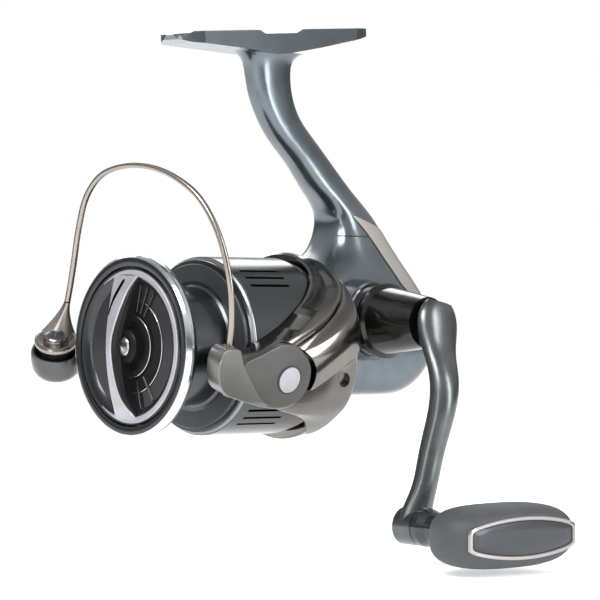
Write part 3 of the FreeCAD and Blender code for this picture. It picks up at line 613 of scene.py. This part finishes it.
WIRE_END_DISC = [
    (2.4, 1.4), (2.4, 4.9), (2.6, 5.5), (3.3, 5.8), (4.0, 5.8), (4.4, 5.5), (4.55, 5.0),
    (4.3, 4.4), (4.3, 0.02), (2.4, 0.02), (2.4, 1.4),
]
BOLT_HEAD = [(4.3, 3.3), (4.8, 3.3), (5.3, 3.0), (5.7, 2.3), (5.85, 1.3), (5.9, 0.02),
             (4.3, 0.02), (4.3, 3.3)]
WEB_WAY = Vector((0.66, 0.75, 0.0))     # towards the wide root of the wire's end
WEB_ALONG, WEB_BEHIND = 3.4, 2.9        # middle of that root, from the roller's middle
WEB_WIDE, WEB_THICK = 4.4, 1.9          # extra half width and half thickness at the root
WEB_TIP = 0.88                   # half thickness at the tip, just over the wire's radius
WEB_STEPS = 15


def bail():
    slab("holder_plate", smooth_loop(HOLDER_PLATE, 70), *PLATE_Y, on_rotor, HOLDER_FLAT, "bail",
         bevel=0.3)
    slab("holder_rim", smooth_loop(HOLDER_RIM, 60), *RIM_Y, on_rotor, HOLDER, "bail", bevel=0.5)
    shoe = slab("holder_shoe", smooth_loop(HOLDER_SHOE, 84), *SHOE_Y, on_rotor, HOLDER, "bail",
                bevel=1.15, steps=6)
    socket = tube_along("wire_socket", SOCKET, [1.5, 1.3], on_rotor, HOLDER, "bail")
    soften(socket, 0.15)
    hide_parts("bail_holder")
    turned("pivot_gap", PIVOT_GAP, INNER, "bail", on_rotor(PIVOT_X, 0, 0), across_arms())
    path = smooth_line(WIRE_PATH, WIRE_STEPS)
    wire = tube_along("wire", path, [WIRE_RADIUS] * WIRE_STEPS, on_rotor, WIRE, "bail")
    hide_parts("bail_wire")
    roller_end()


def roller_end():
    """Lever and bowl of the far arm, and the wire's end over the line roller."""
    joint = JOINTS["line_roller_spin"]
    centre, axis = Vector(joint["pos_m"]), Vector(joint["axis"])
    if axis.z < 0:
        axis = -axis
    turned("arm_end_bowl", ARM_END_BOWL, ARM_DARK, "bail", centre, axis, 72)
    arm = bar("bail_lever", smooth_line(LEVER, 24), on_rotor, ARM_DARK, "bail", 28, 3.0)
    carve(arm, turned("cutter", LEVER_ROOM, ARM_DARK, "bail", centre, axis, 48))
    slab("bail_lever_disc", pivot_circle(DISC_RADIUS), *DISC_Y, on_rotor, ARM_DARK, "bail",
         bevel=0.5)
    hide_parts("bail_arm")
    cover = turned("wire_end_disc", WIRE_END_DISC, WIRE, "bail", centre, axis, 72)
    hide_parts("roller_cover")
    wire_web(centre, axis)
    turned("roller_bolt_head", BOLT_HEAD, DARK_STEEL, "bail", centre, axis, 48)


def wire_web(centre, axis):
    """Tear-shaped end of the wire, from its wide root at the disc to the round wire."""
    behind = (WEB_WAY - axis * WEB_WAY.dot(axis)).normalized()
    wide = axis.cross(behind)
    start = centre + (axis * WEB_ALONG + behind * WEB_BEHIND) * MM
    tip = on_rotor(*WIRE_PATH[-1])
    rings = []
    for t in [i / WEB_STEPS for i in range(WEB_STEPS + 1)]:
        half = WEB_WIDE * (1 - t) ** 1.6 + WEB_TIP
        thick = WEB_THICK * (1 - t) ** 1.3 + WEB_TIP
        spot = start.lerp(tip, t)
        rings.append([spot + (behind * c * thick + wide * s * half) * MM for c, s in circle(32)])
    skin("wire_end_web", rings, WIRE, "bail")


# ---- drag knob ---------------------------------------------------------------------------------

GRIP_BAR = [                     # z, left edge y, right edge y, height over the face
    (-19.4, 5.2, -4.9, 0.45), (-17.3, 5.1, -1.5, 1.0), (-13.0, 4.3, 0.7, 2.9),
    (-6.0, 4.1, 1.7, 4.5), (1.4, 4.05, 1.95, 5.0), (9.1, 4.6, 0.2, 3.9), (15.3, 5.7, -1.3, 1.9),
    (18.8, 6.5, -3.35, 0.45),
]
FACE_X = -67.9                   # front of the drag knob's outer ring
FLOOR_X = -66.8                  # floor of its face
DRAG_DISC = [                    # x, radius
    (FACE_X, 20.7), (FACE_X + 0.3, 20.9), (-66.1, 20.9), (-66.1, 0.02), (-66.7, 0.02),
    (-66.9, 17.0), (-67.3, 17.3), (-67.75, 18.2), (FACE_X, 18.5), (FACE_X, 20.7),
]
RING_SECTION = [                 # x, share of the half width, across the silver arc
    (-67.8, 1), (-68.2, 1), (-68.35, 0.7), (-68.35, -0.7), (-68.2, -1), (-67.8, -1),
]
RING_RADIUS, RING_HALF = 19.65, 0.8
RING_END, RING_TAPER = 124, 45   # degrees from level to an end, and from an end to full width
RING_STEPS, CRESCENT_STEPS = 96, 40
CRESCENT_RADIUS, CRESCENT_HALF, CRESCENT_FLAT = 16.9, 15.9, 3.9
BAR_SLOT = [(4.6, 8.2), (4.05, 8.0), (3.2, 12.0), (1.2, 17.2), (1.5, 18.0), (2.3, 17.6),
            (3.9, 13.6)]
DRAG_CORE = [
    (-66.6, 17.2), (-66.85, 17.1), (-66.85, 12.9), (-67.0, 12.7), (-67.0, 12.3), (-66.9, 12.0),
    (-66.9, 8.6), (-67.4, 8.4), (-67.5, 8.0), (-67.5, 6.6), (-67.0, 6.2), (-67.0, 4.9),
    (-69.3, 4.6), (-69.7, 4.2), (-69.8, 2.7), (-70.3, 2.5), (-70.7, 1.8), (-70.85, 0.02),
    (-66.6, 0.02), (-66.6, 17.2),
]
DRAG_CAP = [(-70.2, 2.6), (-70.6, 2.2), (-70.9, 1.4), (-71.0, 0.02), (-70.2, 0.02),
            (-70.2, 2.6)]
FACE_LINES = [(8.2, -67.5), (12.5, -67.05)]     # radius and x of the fine bright lines
RIB_ANGLES = (58, 68, 78, -56, -74)
RIB_IN, RIB_OUT, RIB_HALF, RIB_X = 9.4, 16.8, 0.3, -67.5


def face_place(y, x, z):
    """Point for a slab whose outline is (y, z) and whose thickness runs along the shaft."""
    return at(x, y, z)


def drag_face():
    disc = on_shaft("drag_disc", DRAG_DISC, BLACK, "drag_knob")
    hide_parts("drag_knob")
    drag_ring()
    drag_bar()
    drag_middle()


def drag_ring():
    """Silver arc that tapers to a point at both ends, and the crescent beside the bar."""
    rings = []
    for i in range(RING_STEPS + 1):
        degrees = -RING_END + 2 * RING_END * i / RING_STEPS
        half = RING_HALF * min(1.0, max(0.04, (RING_END - abs(degrees)) / RING_TAPER)) ** 0.7
        a = math.radians(degrees)
        ring = []
        for x, share in RING_SECTION:
            r = RING_RADIUS + half * share
            ring.append(at(x, -r * math.cos(a), r * math.sin(a)))
        rings.append(ring)
    arc = skin("drag_ring", rings, TRIM, "drag_knob")
    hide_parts("drag_knob_trim")
    heights = [-CRESCENT_HALF + 2 * CRESCENT_HALF * i / CRESCENT_STEPS
               for i in range(CRESCENT_STEPS + 1)]
    crescent = [(math.sqrt(CRESCENT_RADIUS ** 2 - z * z), z) for z in heights]
    crescent += [(CRESCENT_FLAT, CRESCENT_HALF), (CRESCENT_FLAT, -CRESCENT_HALF)]
    slab("drag_crescent", crescent, FLOOR_X, -67.35, face_place, BLACK, "drag_knob", bevel=0.2)


def drag_bar():
    """Bar across the face, black on the left, silver on top, an olive bevel and painted shade on the right, with a
    slot whose floor is painted shade.
    """
    rings = []
    for z, left, right, height in smooth_line(GRIP_BAR, 48):
        top = FACE_X - height
        section = [
            (FLOOR_X, left + 2.2), (-67.7 - height * 0.15, left + 0.9), (top + 0.25, left + 0.1),
            (top, left - 0.25), (top, right + 0.25), (top + 0.25, right - 0.1),
            (top + 0.25 + height * 0.28, right - 0.4), (FACE_X + 0.2 - height * 0.55, right - 1.3),
            (FLOOR_X, right - 1.9),
        ]
        rings.append([at(x, y, z) for x, y in section])
    # the bar's right wall and underside take the near-black pocket colour as painted shade
    handle = skin("drag_bar", rings, [BLACK, TRIM, OLIVE, POCKET_BLACK_AND_SHADE], "drag_knob",
                  indices=[0, 0, 1, 1, 1, 2, 3, 3, 3], sharp=28)
    carve(handle, slab("cutter", BAR_SLOT, FACE_X, -74.0, face_place, POCKET_BLACK_AND_SHADE, "drag_knob"))
    # the slot's floor is a near-black sheet of painted shade
    slab("drag_slot_floor", BAR_SLOT, -67.6, -68.3, face_place, POCKET_BLACK_AND_SHADE, "drag_knob")


def drag_middle():
    """Stepped middle of the face with its nut and cap, the fine lines and the ribs."""
    # the stepped middle takes the near-black pocket colour: the hub's own black, deepened as painted shade of the
    # recess
    hub = on_shaft("drag_core", DRAG_CORE, POCKET_BLACK_AND_SHADE, "drag_knob", 96)
    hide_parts("drag_nut", "drag_nut_cap")
    on_shaft("drag_cap", DRAG_CAP, DARK_STEEL, "drag_knob", 48)
    for r, x in FACE_LINES:
        thread = [(x, r - 0.12), (x - 0.08, r), (x, r + 0.12), (x + 0.1, r), (x, r - 0.12)]
        on_shaft("drag_line_%d" % r, thread, STEEL, "drag_knob", 96)
    for a in RIB_ANGLES:
        c, s = math.cos(math.radians(a)), math.sin(math.radians(a))
        corners = [(r * c - w * s, r * s + w * c) for r, w in
                   ((RIB_IN, -RIB_HALF), (RIB_OUT, -RIB_HALF), (RIB_OUT, RIB_HALF),
                    (RIB_IN, RIB_HALF))]
        rings = [[at(x, -u, v) for u, v in corners] for x in (FLOOR_X, RIB_X)]
        skin("drag_rib_%d" % (a % 360), rings, ROLLER, "drag_knob", bevel=0.12)


# ---- spool -------------------------------------------------------------------------------------

SPOOL_RINGS = [                  # name, profile along the shaft, material
    ("lip_dark_face", [(-67.5, 21.3), (-67.8, 21.4), (-67.98, 21.8), (-68.0, 23.1), (-67.9, 23.45),
                       (-67.5, 23.5), (-67.5, 21.3)], BLACK),
    ("lip_dark_back", [(-65.9, 24.46), (-65.0, 24.3), (-64.6, 23.9), (-64.6, 23.4), (-65.9, 23.4),
                       (-65.9, 24.46)], BLACK),
    ("skirt_edge_ring", [(-44.75, 23.3), (-44.65, 23.5), (-44.3, 23.9), (-44.0, 23.95),
                         (-44.0, 23.2), (-44.75, 23.3)], RING_METAL),
    ("flange_face", [(-46.55, 17.0), (-46.4, 22.0), (-46.2, 22.2), (-45.9, 17.2),
                     (-46.55, 17.0)], FLANGE),
]


def spool_rings():
    for name, profile, mat in SPOOL_RINGS:
        on_shaft(name, profile, mat, "spool")


# ---- crank and knob ----------------------------------------------------------------------------

GRIP_FORM = [                    # y, half length along x, half height along z
    (-67.8, 4.7, 4.5), (-69.4, 6.2, 5.0), (-71.5, 10.4, 5.9), (-74.5, 15.6, 7.0),
    (-78.5, 19.3, 7.9), (-83.0, 21.1, 8.3), (-87.5, 21.2, 8.1), (-90.4, 20.2, 7.3),
    (-92.0, 18.8, 6.2), (-92.5, 17.6, 5.3),
]
KNOB_SHIFT, KNOB_LEAN = 0.7, 0.8 # mm along x and degrees, as the photo shows the grip
KNOB_BOW = 0.0022                # how much the flat of the grip bows towards its ends
GRIP_SQUARE, BARREL_SQUARE = 3.1, 10
FRAME_OUTER, FRAME_INNER, PANEL_FORM = (19.2, 5.5, 3.2), (18.1, 4.5, 2.4), (18.0, 4.4, 2.3)
PANEL_STEPS = [                  # y, share of the panel's outline
    (-92.2, 1.0), (-92.5, 1.0), (-92.62, 0.975), (-92.8, 0.8), (-92.86, 0.4), (-92.88, 0.02),
]


def barrel(half_length, half_middle, half_end, count=72):
    """Long outline with bowed sides and short straight ends, as (x, z) points."""
    out = []
    for c, s in circle(count, 0.5):
        fat = squared(c, s, BARREL_SQUARE)
        x = c * fat
        half = half_middle - (half_middle - half_end) * x * x
        out.append((x * half_length, s * fat * half))
    return out


def near_knob(x, y, z):
    """Point on the grip from its distances along and across it, in mm."""
    lean = math.radians(KNOB_LEAN)
    return at(KNOB.x + KNOB_SHIFT + x * math.cos(lean) - z * math.sin(lean), y + KNOB_BOW * x * x,
              KNOB.z + x * math.sin(lean) + z * math.cos(lean))


def knob():
    rings = []
    for y, reach, half in smooth_line(GRIP_FORM, 40):
        ring = []
        for c, s in circle(64):
            fat = squared(c, s, GRIP_SQUARE)
            ring.append(near_knob(reach * c * fat, y, half * s * fat))
        rings.append(ring)
    grip = skin("grip_body", rings, RUBBER, "knob")
    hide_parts("knob_grip")
    outer, inner = barrel(*FRAME_OUTER), barrel(*FRAME_INNER)
    outer_edge = [(x * 0.985, z * 0.96) for x, z in outer]
    inner_edge = [(x * 1.015, z * 1.05) for x, z in inner]
    rings = [[near_knob(x, y, z) for x, z in line] for y, line in
             ((-92.2, outer), (-92.75, outer), (-92.9, outer_edge), (-92.9, inner_edge),
              (-92.7, inner), (-92.2, inner), (-92.2, outer))]
    frame_piece = skin("grip_frame", rings, SILVER, "knob", closed=False)
    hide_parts("knob_frame")
    rings = [[near_knob(x * k, y, z * k) for x, z in barrel(*PANEL_FORM)] for y, k in PANEL_STEPS]
    panel = skin("grip_panel", rings, PANEL, "knob")
    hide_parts("knob_panel")


# ---- camera, light and floor -----------------------------------------------------------------

# The camera's values come from a camera fitted to the photo.
CAMERA_TURN, CAMERA_LIFT, CAMERA_ROLL = -41.48, 0.71, 1.06      # degrees
CAMERA_AWAY, CAMERA_AIM, CAMERA_LENS = 870.94, (-8.02, 0, 12.64), 188.4     # mm
SOFTBOXES = [                    # name, place from the reel's middle in m, size in m, watts
    ("key", (-0.55, -0.15, 0.55), (0.5, 0.3), 6.0),
    ("side", (0.35, -0.75, 0.25), (0.2, 0.6), 4.0),
    ("front", (-0.85, -0.35, 0.05), (0.16, 0.6), 1.6),
    ("rim", (0.3, 0.6, 0.45), (0.6, 0.3), 2.2),
]
SKY = [(0.0, 0.4), (0.40, 0.6), (0.47, 0.2), (0.56, 0.15), (0.66, 0.6), (0.8, 0.8), (1.0, 0.35)]
FLOOR_HALF, FLOOR_BELOW, FLOOR_GLOW = 1.6, 0.002, 0.5


def camera():
    turn, lift = math.radians(CAMERA_TURN), math.radians(CAMERA_LIFT)
    roll = math.radians(CAMERA_ROLL)
    back = Vector((math.sin(turn) * math.cos(lift), -math.cos(turn) * math.cos(lift),
                   math.sin(lift)))
    right = Vector((math.cos(turn), math.sin(turn), 0))
    up = back.cross(right)
    side = right * math.cos(roll) + up * math.sin(roll)
    top = up * math.cos(roll) - right * math.sin(roll)
    data = bpy.data.cameras.new("camera")
    data.lens = CAMERA_LENS
    data.clip_end = 20
    data.sensor_width = 36
    cam = bpy.data.objects.new("camera", data)
    basis = Matrix((side, top, back)).transposed()
    place = at(*CAMERA_AIM) + back * CAMERA_AWAY * MM
    cam.matrix_world = Matrix.Translation(place) @ basis.to_4x4()
    bpy.context.scene.collection.objects.link(cam)
    bpy.context.scene.camera = cam


def softbox(name, place, aim, size, power):
    data = bpy.data.lights.new(name, "AREA")
    data.shape = "RECTANGLE"
    data.size, data.size_y = size
    data.energy = power
    lamp = bpy.data.objects.new(name, data)
    lamp.location = place
    lamp.rotation_euler = (Vector(aim) - Vector(place)).to_track_quat("-Z", "Y").to_euler()
    bpy.context.scene.collection.objects.link(lamp)


def studio():
    centre = (Vector(CAD_BOX[0]) + Vector(CAD_BOX[1])) / 2
    for name, offset, size, power in SOFTBOXES:
        softbox(name, centre + Vector(offset), centre, size, power)
    world = bpy.data.worlds.new("studio")
    bpy.context.scene.world = world
    world.use_nodes = True
    tree = world.node_tree
    path = tree.nodes.new("ShaderNodeLightPath")
    mix = tree.nodes.new("ShaderNodeMix")
    mix.data_type = "RGBA"
    mix.inputs["B"].default_value = grey(1.0)
    link(tree, path.outputs["Is Camera Ray"], mix.inputs["Factor"])
    link(tree, sky(tree), mix.inputs["A"])
    link(tree, mix.outputs["Result"], tree.nodes["Background"].inputs["Color"])


def sky(tree):
    """Colour of the surroundings by height, as seen in the reel's surfaces."""
    coords = tree.nodes.new("ShaderNodeTexCoord")
    split = tree.nodes.new("ShaderNodeSeparateXYZ")
    link(tree, coords.outputs["Generated"], split.inputs["Vector"])
    height = tree.nodes.new("ShaderNodeMapRange")
    height.inputs["From Min"].default_value = -1.0
    height.inputs["From Max"].default_value = 1.0
    link(tree, split.outputs["Z"], height.inputs["Value"])
    node = tree.nodes.new("ShaderNodeValToRGB")
    stops = node.color_ramp.elements
    for stop, (position, value) in ((stops[0], SKY[0]), (stops[1], SKY[-1])):
        stop.position, stop.color = position, grey(value)
    for position, value in SKY[1:-1]:
        stops.new(position).color = grey(value)
    link(tree, height.outputs["Result"], node.inputs["Fac"])
    return node.outputs["Color"]


def floor():
    mesh = bpy.data.meshes.new("floor")
    half, height = FLOOR_HALF, CAD_BOX[0][2] - FLOOR_BELOW
    corners = [(-half, -half, height), (half, -half, height), (half, half, height),
               (-half, half, height)]
    mesh.from_pydata(corners, [], [(0, 1, 2, 3)])
    plane = bpy.data.objects.new("floor", mesh)
    pale = surface("floor_pale", (0.93, 0.93, 0.93), 0.9, 0.0, 40, variation=0.01, bump=0.0)
    shader = pale.node_tree.nodes["Principled BSDF"]
    shader.inputs["Emission Color"].default_value = grey(1.0)
    shader.inputs["Emission Strength"].default_value = FLOOR_GLOW
    mesh.materials.append(pale)
    bpy.context.scene.collection.objects.link(plane)


paint_nodes()
rear_guard()
rotor()
bail()
drag_face()
spool_rings()
knob()
camera()
studio()
floor()
bpy.context.scene.view_settings.view_transform = "Standard"
